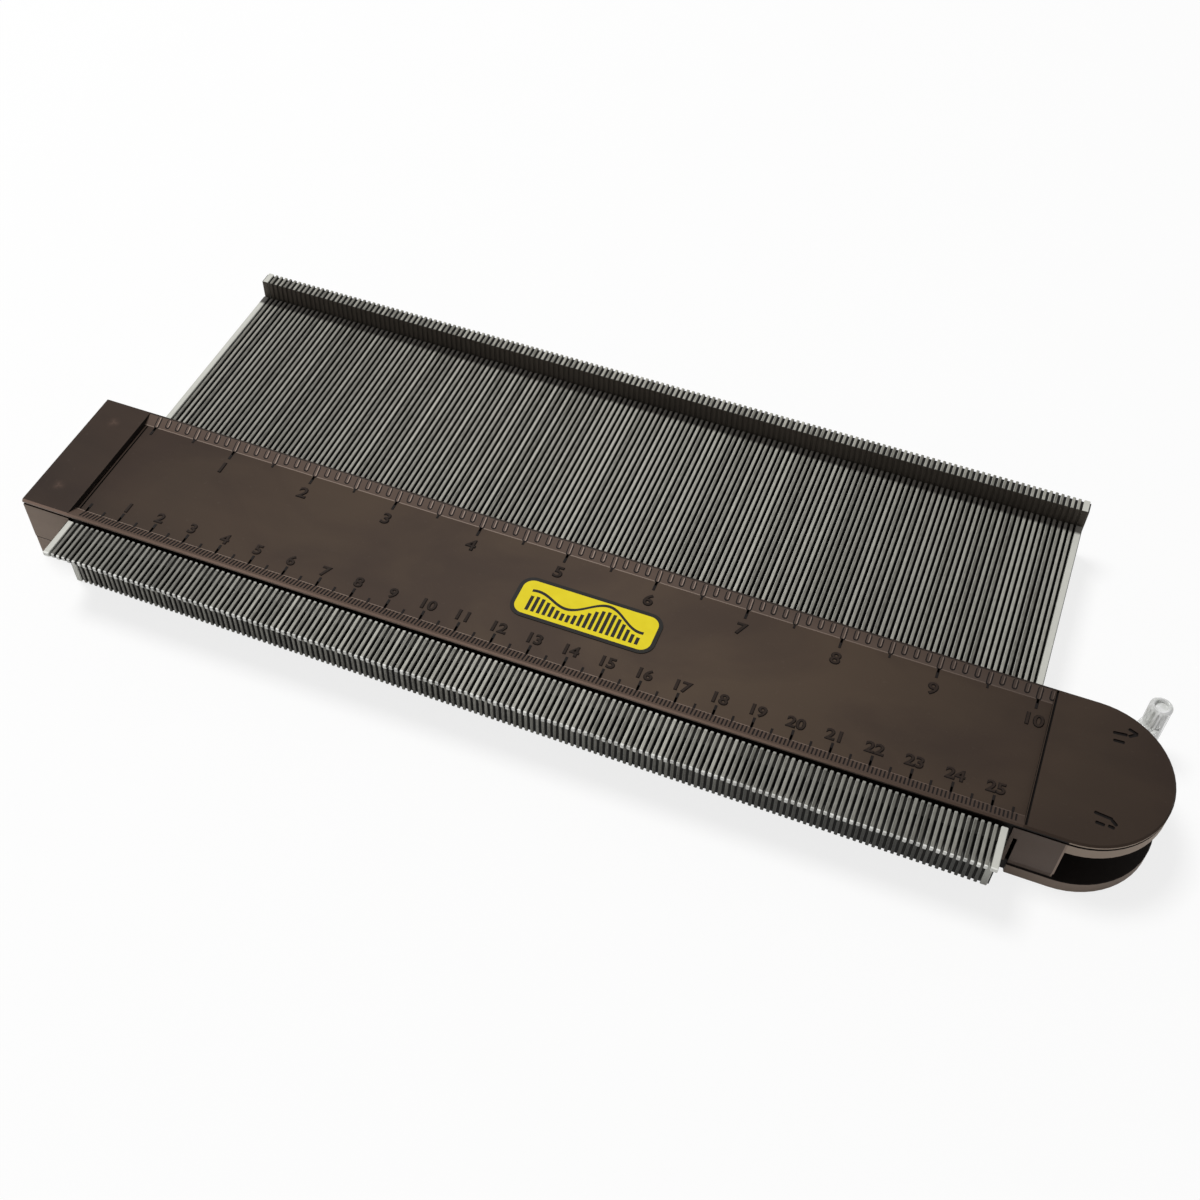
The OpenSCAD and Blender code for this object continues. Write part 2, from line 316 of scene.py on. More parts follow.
class Finish:
    """A material with its main shader and its place wires."""

    def __init__(self, name):
        self.material = bpy.data.materials.new(name)
        self.material.use_nodes = True
        self.tree = self.material.node_tree
        self.shader = self.tree.nodes["Principled BSDF"]
        self.start = Wire(self.tree)
        self.place = self.start.node("ShaderNodeTexCoord", {}, {}, "Object")

    def axis(self, letter):
        """One coordinate of the surface point, in millimetres."""
        return self.start.node("ShaderNodeSeparateXYZ", {}, {"Vector": self.place}, letter) / MM

    def facing(self, letter):
        """One part of the direction that the surface faces."""
        normal = self.start.node("ShaderNodeNewGeometry", {}, {}, "True Normal")
        return self.start.node("ShaderNodeSeparateXYZ", {}, {"Vector": normal}, letter)

    def noise(self, scale, detail, stretch=(1, 1, 1), warp=0):
        """Soft noise between 0 and 1; scale counts features per metre, warp makes it smoky."""
        spread = self.start.node(
            "ShaderNodeVectorMath", {"operation": "MULTIPLY"}, {0: self.place, 1: stretch})
        return self.start.node(
            "ShaderNodeTexNoise", {},
            {"Vector": spread, "Scale": scale, "Detail": detail, "Distortion": warp}, "Fac")

    def ramp(self, value, *stops):
        """Spreads a value over (place, grey value) stops."""
        return self.start.node("ShaderNodeValToRGB", {"stops": stops}, {"Fac": value})

    def blend(self, factor, first, second):
        """Mixes two colours."""
        return self.start.node(
            "ShaderNodeMix", {"data_type": "RGBA"}, {0: factor, 6: first, 7: second}, 2)

    def bump(self, height, strength, distance):
        """A Bump node on a height wire."""
        return self.start.node(
            "ShaderNodeBump", {}, {"Height": height, "Strength": strength, "Distance": distance * MM})

    def feed(self, **sockets):
        """Sets or links the main shader's sockets; an underscore stands for a space."""
        for name, value in sockets.items():
            target = self.shader.inputs[name.replace("_", " ")]
            if isinstance(value, Wire):
                self.tree.links.new(value.socket, target)
            else:
                target.default_value = value


print("finish helpers ready")

# %% [markdown]
# The shells are one dark brown plastic, moulded with a fine texture. Melt that cooled unevenly leaves
# smoky patches and streaks along the body. The front edges get a paler line, partly wear from hands and
# partly a painted highlight, and the middle of the body gets a paler painted sheen. The tones grow darker
# towards the lever end. Noise gives the clouds, and the slope of the surface tells where an edge is. The
# darker and paler zones of the shells are this same recipe with other tones: the paler walls are painted
# light, and the near-black hollows and marks are painted shade.

# %% Shell plastic
# Pale colour of the front edges: wear plus a painted highlight. Middle colour: a painted sheen.
worn_and_lit_brown, sheen_brown, smoke_brown = "a88e80", "756457", "857259"
# The darkest brown darkens the lever end and paints the shadow line along the strips' back edge.
dust_grey, lever_dark_and_shadow = "8a7d74", "17120f"
# Centre of the painted sheen along the body.
sheen_centre = 8
edge_slope = 0.42


def lever_side(finish):
    """A mask that grows from the middle of the body to the lever."""
    return finish.ramp(finish.axis("X") / tray_end, (0.05, 0), (0.95, 1))


def front_edges(finish):
    """A mask of the sloped front edges, where hands rub and a painted highlight line runs."""
    rise = finish.facing("Z")
    lean = (1 - rise * rise).math("SQRT")
    return (rise * lean > edge_slope) * (finish.axis("Y") < 0) * (finish.axis("X") < tray_end)


def shell_plastic(name, dark, light, worn_and_lit=worn_and_lit_brown, wear_and_highlight=0.6, middle_sheen=0.0, smoke=0.0, lever_darkening=0.0,
                  details=()):
    """Dark moulded plastic with clouds, flow streaks, a fine grain, a painted sheen, a darker lever end and
    worn edges with a painted highlight line.
    """
    finish = Finish(name)
    clouds = finish.noise(28, 4)
    streaks = finish.noise(60, 3, (0.25, 2, 2))
    grain = finish.noise(2600, 2)
    specks = finish.ramp(finish.noise(900, 1), (0.70, 0), (0.78, 1))
    tone = finish.ramp(clouds * 0.65 + streaks * 0.35, (0.32, 0), (0.68, 1))
    middle = (1 - abs(finish.axis("X") - sheen_centre) / shell_high.x).math("MAXIMUM", 0.0)
    coat = finish.blend(tone, colour(dark), colour(light))
    # Painted sheen: the coat grows paler towards the middle of the body.
    coat = finish.blend(middle * middle_sheen, coat, colour(sheen_brown))
    if smoke:
        patches = finish.ramp(finish.noise(24, 8, (1, 1.3, 1), 0.7), (0.40, 0), (0.64, 1))
        coat = finish.blend(patches * (0.3 + middle * 0.7) * smoke, coat, colour(smoke_brown))
    coat = finish.blend(specks * 0.03, coat, colour(dust_grey))
    toward_lever = lever_side(finish)
    # Darker towards the lever end.
    coat = finish.blend(toward_lever * lever_darkening, coat, colour(lever_dark_and_shadow))
    # Front edges: wear from hands plus a painted highlight line on the bevel.
    pale_mask = front_edges(finish) * (1 - toward_lever * 0.85) * (0.45 + streaks * 0.9)
    coat = finish.blend(pale_mask * wear_and_highlight, coat, colour(worn_and_lit))
    for detail in details:
        coat = detail(finish, coat)
    finish.feed(
        Base_Color=coat,
        Roughness=0.50 + clouds * 0.10 + grain * 0.06,
        Normal=finish.bump(grain * 0.7 + clouds * 0.3, 0.16, 0.05),
        Specular_IOR_Level=0.1,
    )
    return finish.material


# Painted light: the outer walls, the round end and the front rim are paler copies of the shell plastic.
lit_side_finish = shell_plastic("lit_side_plastic", "807166", "8f8074")
lit_bow_finish = shell_plastic("lit_bow_plastic", "978779", "a69587")
lit_rim_finish = shell_plastic("lit_rim_plastic", "887a70", "978880", lever_darkening=1.0)
# Painted shade: nearly black for the hollows, the groove under the lip and the back edge.
shade_finish = shell_plastic("painted_shade_plastic", "14100e", "1d1815", wear_and_highlight=0.25)
print("plain shell finishes:", lit_side_finish.name, lit_bow_finish.name, lit_rim_finish.name, shade_finish.name)

# %% [markdown]
# Some zones of the shell have a mark of their own: a painted highlight line along the foot and a painted
# shadow line along the back edge of the sloped strips, a painted highlight on the right side of each inch
# ridge, a painted highlight on the upright corner of the side panel, and two faint smudges over the screw
# posts at the square end, where the plastic sank a little. Each is a small function that paints over the
# coat, so a finish takes only the ones that it needs.

# %% Painted highlights and shadows on the shell, and sink marks
strip_highlight_brown, ridge_highlight_brown, corner_highlight_brown, pale_smudge = "9a897d", "b09c8f", "a08d80", "94796a"
border_line = 0.24
rear_line = 0.4
highlight_side = 0.12
corner_line = 0.5
smudges = ((-147.2, 13.6), (-147.8, -13.1))
smudge_reach = 2.6
smudge_rays = 3
smudge_skin = 0.5


def strip_lines(finish, coat):
    """A painted highlight line at the foot of the sloped strips and a painted shadow line along the back
    edge.
    """
    foot = (abs(finish.axis("Y")) < tray_half + border_line) * (1 - lever_side(finish) * 0.8)
    # Painted highlight line at the foot of the strips.
    coat = finish.blend(foot * 0.6, coat, colour(strip_highlight_brown))
    # Painted shadow line along the back edge.
    rear = finish.axis("Y") > rim_half - rear_line
    return finish.blend(rear * 0.8, coat, colour(lever_dark_and_shadow))


def rubbed_ridges(finish, coat):
    """A painted highlight on the right side of every ridge of the inch scale."""
    eighth = inch / 8
    steps = (finish.axis("X") - inch_zero) / eighth
    beside = (steps - steps.math("ROUND")) * eighth
    # Painted highlight on the right side of each ridge.
    pale_mask = (beside > highlight_side) * (0.75 - lever_side(finish) * 0.6)
    return finish.blend(pale_mask, coat, colour(ridge_highlight_brown))


def panel_corner(finish, coat):
    """A painted highlight line on the upright corner between the side panel and the lever slot."""
    # Painted highlight line on the corner.
    corner = finish.axis("X") > pivot.x - corner_line
    return finish.blend(corner * 0.7, coat, colour(corner_highlight_brown))


def sink_smudges(finish, coat):
    """Faint three-rayed smudges in the top face."""
    for x, y in smudges:
        across, along = finish.axis("Y") - y, finish.axis("X") - x
        reach = (across * across + along * along).math("SQRT")
        ray = (across.math("ARCTAN2", along) * smudge_rays).math("COSINE") * 0.3 + 0.7
        near = (1 - reach / smudge_reach).math("MAXIMUM", 0.0)
        smudge = near * near * ray * (finish.axis("Z") > shell_high.z - smudge_skin)
        coat = finish.blend(smudge * 0.24, coat, colour(pale_smudge))
    return coat


# The top takes the painted sheen in its middle.
top_finish = shell_plastic(
    "shell_plastic", "291f1a", "352922", middle_sheen=0.25, smoke=0.14, lever_darkening=0.25, details=[sink_smudges])
strip_finish = shell_plastic("strip_plastic", "4e4038", "5d4d43", lever_darkening=0.5, details=[strip_lines])
# The side panel is a paler copy too: painted light.
lit_panel_finish = shell_plastic("lit_panel_plastic", "5c5049", "685b53", details=[panel_corner])
ridge_finish = shell_plastic(
    "rule_ridges", "544640", "63544b", "8f7d71", lever_darkening=0.6, details=[rubbed_ridges])
# Painted shade: nearly black for the engraved cuts, the marks and the slopes of the numerals.
mark_shade_finish = shell_plastic("mark_shade_plastic", "0c0908", "16110f", "2c2420")
numeral_finish = shell_plastic("numeral_tops", "201813", "2a201a")
print("marked shell finishes:", top_finish.name, strip_finish.name, lit_panel_finish.name, ridge_finish.name)

# %% [markdown]
# The pins are moulded by the hundred in a lighter grey plastic. No two have quite the same tone, so a
# random value per pin, found from its place in the stack, shifts the grey. One chamfer of each pin, the
# back of its head and its tip get a painted highlight, and the two end pins are painted paler. Painted
# shade darkens the other chamfer, the flanks and the feet. The noses grow darker towards both ends of
# the row.

# %% Painted highlights and shade of the pins
tip_reach = 0.55
# Length of the painted shadow in front of the rear tab.
tab_shadow_depth = 4.4
# Middle of the row, where the noses are palest.
row_middle = -20
hair = 0.1
slanted, upright = 0.15, 0.95


def pin_number(finish):
    """Number of the pin in the stack, from its place."""
    return ((finish.axis("X") - (stack_start + end_extra)) / pin_pitch).math("FLOOR")


def end_pins(finish):
    """A mask of the two thick end pins."""
    number = pin_number(finish)
    return (number < 0.5).math("MAXIMUM", number > pin_count - 1.5)


def rubbed_places(finish, scuffs):
    """A mask of the painted highlights: one chamfer, the back of the head and the end pins."""
    lean, along = finish.facing("X"), finish.axis("Y")
    chamfer = (lean < -slanted) * (lean > -upright) * (0.55 + scuffs * 0.6)
    back = (along > head_back - tip_reach) * (along < head_back + hair) * 0.45
    return back.math("MAXIMUM", (end_pins(finish) * 0.75).math("MAXIMUM", chamfer * 0.8))


def dirty_places(finish):
    """A mask of painted shade on the flanks, the far chamfer and the feet near the lever, and of noses
    darker at the ends of the row.
    """
    lean, inner, height = finish.facing("X"), 1 - end_pins(finish), finish.axis("Z")
    chamfer = (lean > slanted) * (lean < upright) * 0.75
    flank = (abs(lean) > upright).math("MAXIMUM", chamfer) * inner
    by_lever = finish.ramp(finish.axis("X") / tray_end, (0.05, 0), (0.65, 1))
    foot = (finish.facing("Y") < -0.5) * (height < nose_root + 1) * inner * (0.15 + by_lever * 0.65)
    near_middle = finish.ramp(abs(finish.axis("X") - row_middle) / shell_high.x, (0.32, 1), (0.60, 0))
    nose = finish.axis("Y") < head_back
    row_end_dark = (1 - near_middle) * inner * (0.22 + nose * 0.2) * (height > nose_root)
    return (flank * 0.9).math("MAXIMUM", foot.math("MAXIMUM", row_end_dark))


def tab_corner(finish):
    """A mask of the painted shadow in front of the rear tab."""
    along = finish.axis("Y")
    depth = (along - (tab_front - tab_shadow_depth)) / tab_shadow_depth
    return finish.ramp(depth, (0.05, 0), (0.28, 1)) * (along < tab_front + hair)


print("pin masks ready")

# %% [markdown]
# The coat of the pins puts those masks together. Fine scuffs run along each pin, where it has slid through
# the body, and they also feed the bump. The rear tabs' risers and the webs between the pins get darker
# coats from the shell's recipe: painted shade.

# %% Pin plastic
# The edge and tip colours are painted highlights.
pin_dark, pin_light, pin_highlight, tip_highlight = "64625a", "b6b4aa", "d6d6ce", "eeeee9"
# Colours of the painted shade on flanks and feet, and of the painted shadow in front of the tab.
pin_shade_and_darkening, tab_shadow_brown = "131210", "2e2a26"


def pin_plastic(name):
    """Grey plastic whose tone differs from pin to pin, with painted highlights on edges and tips and
    painted shade on flanks and feet.
    """
    finish = Finish(name)
    chance = finish.start.node(
        "ShaderNodeTexWhiteNoise", {"noise_dimensions": "1D"}, {"W": pin_number(finish)}, "Value")
    scuffs = finish.noise(700, 2, (1, 0.06, 1))
    grain = finish.noise(3000, 1)
    weave = finish.ramp(finish.noise(1500, 1, (1, 0.3, 1)), (0.40, 0), (0.62, 1))
    tone = chance * 0.7 + finish.ramp(scuffs, (0.35, 0), (0.70, 1)) * 0.25 + weave * 0.2 - 0.07
    tip = (finish.axis("Y") < nose_front + tip_reach) * (abs(finish.facing("X")) < upright)
    coat = finish.blend(tone, colour(pin_dark), colour(pin_light))
    # Painted highlights: one chamfer, the back of the head and the end pins.
    coat = finish.blend(rubbed_places(finish, scuffs), coat, colour(pin_highlight))
    # Painted shade on the flanks, the far chamfer and the feet; noses darker at the ends of the row.
    coat = finish.blend(dirty_places(finish), coat, colour(pin_shade_and_darkening))
    # Painted shadow that the rear tab casts forward on the shank.
    coat = finish.blend(tab_corner(finish) * 0.95, coat, colour(tab_shadow_brown))
    # Painted highlight on the tips.
    coat = finish.blend(tip * (0.55 + chance * 0.4), coat, colour(tip_highlight))
    finish.feed(
        Base_Color=coat,
        Roughness=0.46 + scuffs * 0.16,
        Normal=finish.bump(scuffs * 0.6 + grain * 0.4, 0.15, 0.04),
        Specular_IOR_Level=0.3,
    )
    return finish.material


pin_finish = pin_plastic("pin_plastic")
# Painted shade: the webs between the pins and the risers of the rear tabs are darkened.
web_shade_finish = shell_plastic("web_shade_plastic", "0f0e0c", "1a1916", wear_and_highlight=0.0)
riser_shade_finish = shell_plastic("riser_shade_plastic", "514b44", "5f5850", wear_and_highlight=0.0)
print("pin finishes:", pin_finish.name, web_shade_finish.name, riser_shade_finish.name)

# %% [markdown]
# The finger lever is clear plastic with a few cloudy swirls, and the screws and the pivot are plated
# steel. Each gets its own short recipe.

# %% Clear plastic and steel
def clear_plastic(name):
    """Clear plastic with cloudy swirls."""
    finish = Finish(name)
    swirl = finish.ramp(finish.noise(330, 3, (1, 1, 0.4)), (0.32, 0), (0.66, 1))
    finish.feed(
        Base_Color=finish.blend(swirl, colour("d9dbd6"), colour("ffffff")),
        Roughness=0.05 + swirl * 0.12,
        Normal=finish.bump(swirl, 0.5, 0.4),
        Transmission_Weight=0.3,
        Coat_Weight=0.7,
        IOR=1.49,
    )
    return finish.material


def plated_steel(name):
    """Bright plating with turning lines and small dull spots."""
    finish = Finish(name)
    spots = finish.noise(900, 3)
    lines = finish.noise(2500, 1, (0.2, 0.2, 3))
    finish.feed(
        Base_Color=finish.blend(spots, colour("8f9092"), colour("c4c5c6")),
        Metallic=1.0,
        Roughness=0.24 + spots * 0.2,
        Normal=finish.bump(lines, 0.1, 0.03),
    )
    return finish.material


lever_finish = clear_plastic("clear_plastic")
steel_finish = plated_steel("plated_steel")
print("small finishes:", lever_finish.name, steel_finish.name)

# %% [markdown]
# The label is a thin yellow sticker with a black border. Its picture is a row of upright bars whose
# tops follow a wave, which is what the tool does. The bars and the border are worked out from the
# surface point, so no picture file is needed.

# %% Label print
label_low, label_high = span("label_plate")
label_corner = 4.0
border_width = 1.1
picture_margin = 4.0
bar_pitch, bar_width, bar_foot = 1.6, 0.95, -4.4
wave_height, wave_turn = 1.9, 0.33
swell_height, swell_turn, swell_start = 1.1, 0.17, 0.8
line_rise, line_width = 1.7, 0.9


def wave(place):
    """Height of the label's wave at a place along it."""
    swell = (place * swell_turn + swell_start).math("SINE") * swell_height
    return (place * wave_turn).math("SINE") * wave_height + swell


def label_print(name):
    """Yellow print with a border and a row of bars under a wave."""
    finish = Finish(name)
    middle, half = (label_low + label_high) / 2, (label_high - label_low) / 2
    along, across = finish.axis("X") - middle.x, finish.axis("Y") - middle.y
    over_x = (abs(along) - (half.x - label_corner)).math("MAXIMUM", 0.0)
    over_y = (abs(across) - (half.y - label_corner)).math("MAXIMUM", 0.0)
    border = label_corner - (over_x * over_x + over_y * over_y).math("SQRT") < border_width
    step = (along / bar_pitch).math("FLOOR") * bar_pitch
    bar = (abs(along - step - bar_pitch / 2) < bar_width / 2) * (across < wave(step)) * (across > bar_foot)
    line = abs(across - wave(along) - line_rise) < line_width / 2
    picture = bar.math("MAXIMUM", line) * (abs(along) < half.x - picture_margin)
    fade = finish.noise(400, 3)
    yellow = finish.blend(fade, colour("dcc816"), colour("ead824"))
    finish.feed(
        Base_Color=finish.blend(border.math("MAXIMUM", picture), yellow, colour("100e0b")),
        Roughness=0.36 + fade * 0.12,
        Normal=finish.bump(fade, 0.05, 0.05),
        Specular_IOR_Level=0.2,
    )
    return finish.material


label_finish = label_print("label_print")
print("label finish:", label_finish.name)

# %% [markdown]
# The shells come from the CAD solids, because every rib and screw hole there is already right. A
# moulding has no knife edges, though. So a copy is merged into one skin, and its sharp straight edges
# are rounded. The screw and pivot holes keep their true edges.

# %% Moulded copies
merge_reach = 0.002
flat_angle, sharp_angle, shading_angle = 0.5, 55, 15


def sharp_edges(piece):
    """Merges the loose triangles of a CAD copy and gives the numbers of its sharp edges."""
    enter(piece, "VERT")
    bpy.ops.mesh.select_all(action="SELECT")
    bpy.ops.mesh.remove_doubles(threshold=merge_reach * MM)
    bpy.ops.mesh.dissolve_limited(angle_limit=math.radians(flat_angle))
    bpy.ops.mesh.select_mode(type="EDGE")
    bpy.ops.mesh.select_all(action="DESELECT")
    bpy.ops.mesh.edges_select_sharp(sharpness=math.radians(sharp_angle))
    leave()
    return {edge.index for edge in piece.data.edges if edge.select}


def moulded_copy(node, name, radius, segments, skip, shading=shading_angle):
    """A merged copy of a CAD node whose sharp edges are rounded, apart from the skipped ones."""
    piece = bpy.data.objects.new(name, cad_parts[node].data.copy())
    bpy.context.scene.collection.objects.link(piece)
    sharp = sharp_edges(piece)
    enter(piece, "EDGE")
    leave()
    mesh = piece.data
    for edge in mesh.edges:
        start, stop = (mesh.vertices[index].co / MM for index in edge.vertices)
        edge.select = edge.index in sharp and not skip(start, stop)
    bpy.ops.object.mode_set(mode="EDIT")
    bpy.ops.mesh.bevel(
        offset=radius * MM, segments=segments, affect="EDGES", clamp_overlap=True, miter_outer="ARC")
    leave()
    smooth(piece, shading)
    return piece


print("moulding helpers ready")

# %% [markdown]
# Now the two shells and the clamp shoe are copied. The shoe is a small separate block beside the last pin,
# so its rounds are finer.

# %% Shells and shoe
square_end_screw, lever_end_screw = Vector((-146.875, 11)), Vector((126.9, 15.4))
bores = [pivot]
for screw in (square_end_screw, lever_end_screw):
    bores += [screw, Vector((screw.x, -screw.y))]
bore_reach = 3.4


def near_bore(start, stop):
    """True for an edge of a screw or pivot hole."""
    return any(max((point.xy - bore).length for point in (start, stop)) < bore_reach for bore in bores)


upper = moulded_copy("upper_shell", "Upper_shell", radius=0.3, segments=3, skip=near_bore)
lower = moulded_copy("lower_shell", "Lower_shell", radius=0.3, segments=3, skip=near_bore)
shoe = moulded_copy("clamp_shoe", "Clamp_shoe", radius=0.15, segments=2, skip=lambda start, stop: False)
print("shell faces:", len(upper.data.polygons), len(lower.data.polygons))

# %% [markdown]
# Two arrows are sunk into the round end, and show which way the lever locks and frees the pins. A thin
# groove closes the rule tray at each end. They are cut as a mould maker would engrave them: a small bar is
# laid along each line and taken away by a Boolean modifier.

# %% Engraved lines
arrow_width, arrow_depth = 0.9, 0.35
arrow_round = 0.27
back_arrow = (((137.3, 13.4), (139.9, 13.7)), ((137.7, 11.1), (139.6, 11.2)),
              ((140.7, 15.6), (142.3, 15.0)), ((142.3, 14.6), (141.0, 13.7)))
front_arrow = (((136.8, -11.3), (140.4, -11.7)), ((137.5, -13.9), (138.9, -14.0)),
               ((140.9, -12.2), (141.7, -12.9)), ((140.5, -13.9), (141.2, -14.0)))


def stroke(start, stop):
    """A bar from one point of the top face to another, for the cutter."""
    start, stop = Vector(start), Vector(stop)
    half = arrow_width / 2
    bar = block("Stroke", (-half, -half, -arrow_depth), ((stop - start).length + half, half, arrow_depth))
    bevel(bar, lambda a, b: abs(a.z - b.z) > arrow_depth, arrow_round, 2)
    focus(bar)
    bar.rotation_euler.z = math.atan2(stop.y - start.y, stop.x - start.x)
    bar.location = Vector((start.x, start.y, shell_high.z)) * MM
    settle()
    return bar


def groove(name, end, reach, half, low, high):
    """A bar across the body between two distances from an end of the tray, for the cutter."""
    return block(name, (end + reach[0], -half, low), (end + reach[1], half, high))


cutters = [stroke(start, stop) for start, stop in back_arrow + front_arrow]
cutters += [
    groove("Right_groove", tray_end, reach=(0.2, 0.75), half=20.9, low=21.2, high=22.5),
    groove("Wall_groove", tray_start, reach=(0.05, 0.4), half=17.2, low=20.1, high=21.0),
    groove("Left_groove", tray_start, reach=(0.9, 1.35), half=17.2, low=20.1, high=21.0),
]
print("engraved lines:", len(cutters))
for cutter in cutters:
    apply_modifier(upper, "BOOLEAN", operation="DIFFERENCE", solver="EXACT", object=cutter)
    bpy.data.objects.remove(cutter)
smooth(upper, shading_angle)

# %% [markdown]
# Parts of a shell don't look alike. The top is dull and the sloped strips are paler. The outer walls are
# painted paler, as lit, and the hollows under the lip and round the lever are painted nearly black, as
# shade. Each zone is picked by the place c and the direction n of its faces. The outer walls come first.

# %% Zones of the outer walls
mostly, barely = 0.8, 0.3
half_body = 21.5
skin = 0.35
bow_low, panel_high, rim_low, edge_low = 15.0, 20.35, 20.9, 21.6
square_corner = 1
panel_reach = 3
corner_play, corner_skin = 0.45, 0.5
corner_turn, corner_end = 0.2, 0.98


def on_skin(c):
    """True on the outer wall of the body, at the square end, the sides or the round end."""
    if c.x > pivot.x:
        return (c.xy - pivot).length > half_body - skin
    return abs(c.y) > half_body - skin or c.x < shell_low.x + skin


def on_side(c, n):
    return abs(n.z) < barely and on_skin(c)


def on_rim(c, n):
    return on_side(c, n) and c.z > rim_low and shell_low.x + square_corner < c.x < tray_end


# The back edge of the strips is painted shade, a dark line.
def on_back_rim(c, n):
    return c.y > rim_half and c.z > edge_low and tray_start < c.x < tray_end


def on_bow(c, n):
    return on_side(c, n) and c.x > pivot.x and c.z > bow_low


def on_panel(c, n):
    return on_side(c, n) and tray_end - panel_reach < c.x < pivot.x and c.z < panel_high


def on_corner(c, n):
    """True on the rounded upright corner between the side panel and the lever slot."""
    at_corner = abs(c.x - pivot.x) < corner_play and abs(c.y) > half_body - corner_skin
    return at_corner and corner_turn < n.x < corner_end and c.z < panel_high


print("wall zones ready")

# %% [markdown]
# The other zones are the sloped strips, the cuts of the engraver, painted nearly black as shade, and all
# that lies in shade and is painted dark: the groove under the lip, the wall at the square end of the tray
# and the hollow inside. With them the shells and the shoe can be painted and fitted.

# %% Zones of the top and the inside
strip_lean, strip_steep, strip_end = 0.25, 0.5, 0.3
arrow_field, groove_field, cut_end = half_body - 2, 0.8, 0.6
cut_low, cut_high = 21.1, 21.9
roof_low, groove_high, groove_half = 20.2, 21.1, 20.0
wall_low, wall_play = 20.4, 0.3
line_low, line_high, line_field = 20.0, 20.45, 2
ledge_half, ledge_play = 20.5, 0.1
base_round, not_below = 0.6, -0.5


def on_strip(c, n):
    sloped = n.z > mostly and strip_lean < abs(n.y) < strip_steep
    return sloped and tray_half < abs(c.y) < half_body - strip_end


def in_cut(c, n):
    marked = (c.xy - pivot).length < arrow_field or tray_end < c.x < tray_end + groove_field
    return marked and cut_low < c.z < cut_high and abs(c.y) < half_body - cut_end


def in_shade(c, n):
    """True in the shadow groove, on the walls behind the pins and inside the lever slot."""
    under_lip = abs(c.y) > groove_half or c.x > pivot.x
    lip_gap = roof_low < c.z < groove_high and under_lip and not on_skin(c)
    wall = n.x > mostly and abs(c.x - tray_start) < wall_play and c.z > wall_low
    line = tray_start < c.x < tray_start + line_field and line_low < c.z < line_high
    return lip_gap or wall or line or (c.z < roof_low and not on_skin(c))


def on_ledge(c, n):
    return abs(n.y) > mostly and abs(c.y) > ledge_half and c.x > tray_end - ledge_play


def in_lower_shade(c, n):
    return c.z > base_round and n.z > not_below


# Walls, rim, round end and panel take painted light; the back edge, cuts and hollows take painted shade.
paint(upper, top_finish, (strip_finish, on_strip), (lit_bow_finish, on_corner), (lit_panel_finish, on_panel),
      (shade_finish, on_back_rim), (lit_rim_finish, on_rim), (lit_bow_finish, on_bow), (lit_side_finish, on_side),
      (mark_shade_finish, in_cut), (shade_finish, in_shade))
paint(lower, top_finish, (lit_side_finish, on_side), (lit_panel_finish, on_ledge), (shade_finish, in_lower_shade))
paint(shoe, lit_panel_finish)
fit(upper, "housing", "shell", "upper_shell")
fit(lower, "housing", "shell", "lower_shell")
fit(shoe, "shoe", "shell", "clamp_shoe")

# %% [markdown]
# One pin is a blade: a shank, a foot and a nose in front, and a tab behind. It starts as a cube of the
# shank and grows by extruding faces, the way it would be drawn by hand. Its rim is chamfered last, so
# that every pin catches a thin line of light. 160 copies follow, so the pin stays at a few dozen faces.

# %% Blade of one pin
straight = 0.9
melt_angle = 1
blade_width = 0.9
shank_low, shank_high = 5.0, 15.9
relief = 0.7
foot_depth = 4.5
nose_high, nose_tip = 20.3, 1.2
rim_cut = 0.14
foot_front = head_back - foot_depth
side_gap = (pin_width - blade_width) / 2


def melt(piece):
    """Melts the edges that extruding left inside flat faces, and keeps all selected in edit mode."""
    enter(piece, "FACE")
    bpy.ops.mesh.select_all(action="SELECT")
    bpy.ops.mesh.dissolve_limited(angle_limit=math.radians(melt_angle))
    bpy.ops.mesh.select_all(action="SELECT")


def raise_points(piece, test, step):
    """Moves the chosen points up by a step in millimetres."""
    choose(piece, "VERT", test)
    bpy.ops.transform.translate(value=(0, 0, step * MM))
    leave()


def pin_blade():
    """The blade of the first pin: shank, foot, tab and, last, the nose."""
    blade = block("Pin", (side_gap, head_back, shank_low),
                  (side_gap + blade_width, tab_front - relief, shank_high))
    pull(blade, lambda c, n: n.y > straight, (0, relief, 0))
    raise_points(blade, lambda p: p.y > tab_front - hair and p.z > shank_high - hair, -relief)
    pull(blade, lambda c, n: n.y < -straight, (0, -foot_depth, 0))
    pull(blade, lambda c, n: n.z > straight and c.y < head_back, (0, 0, nose_high - shank_high))
    pull(blade, lambda c, n: n.z < -straight and c.y < head_back, (0, 0, foot_low - shank_low))
    pull(blade, lambda c, n: n.y > straight and c.y > tab_front - relief, (0, tab_back - tab_front, 0))
    pull(blade, lambda c, n: n.z > straight and c.y > tab_front, (0, 0, tab_high - shank_high + relief))
    pull(blade, lambda c, n: n.z < -straight and c.y > tab_front, (0, 0, foot_low - shank_low))
    melt(blade)
    bpy.ops.mesh.bisect(plane_co=(0, 0, nose_root * MM), plane_no=(0, 0, 1))
    leave()
    pull(blade, lambda c, n: n.y < -straight and c.y < foot_front + hair and c.z > nose_root,
         (0, nose_front - foot_front, 0))
    raise_points(blade, lambda p: p.y < nose_front + hair and p.z < nose_root + hair,
                 nose_high - nose_tip - nose_root)
    melt(blade)
    leave()
    bevel(blade, lambda a, b: abs(a.x - b.x) < hair, rim_cut, 1)
    return blade


blade = pin_blade()
print("faces of the blade:", len(blade.data.polygons))

# %% [markdown]
# A rib along its middle keeps the pin off its neighbour, with an upright web in the head and in the tab.
# They grow from a bar in the same way. Here they almost meet those of the next pin, so that no light
# shows through the stack.

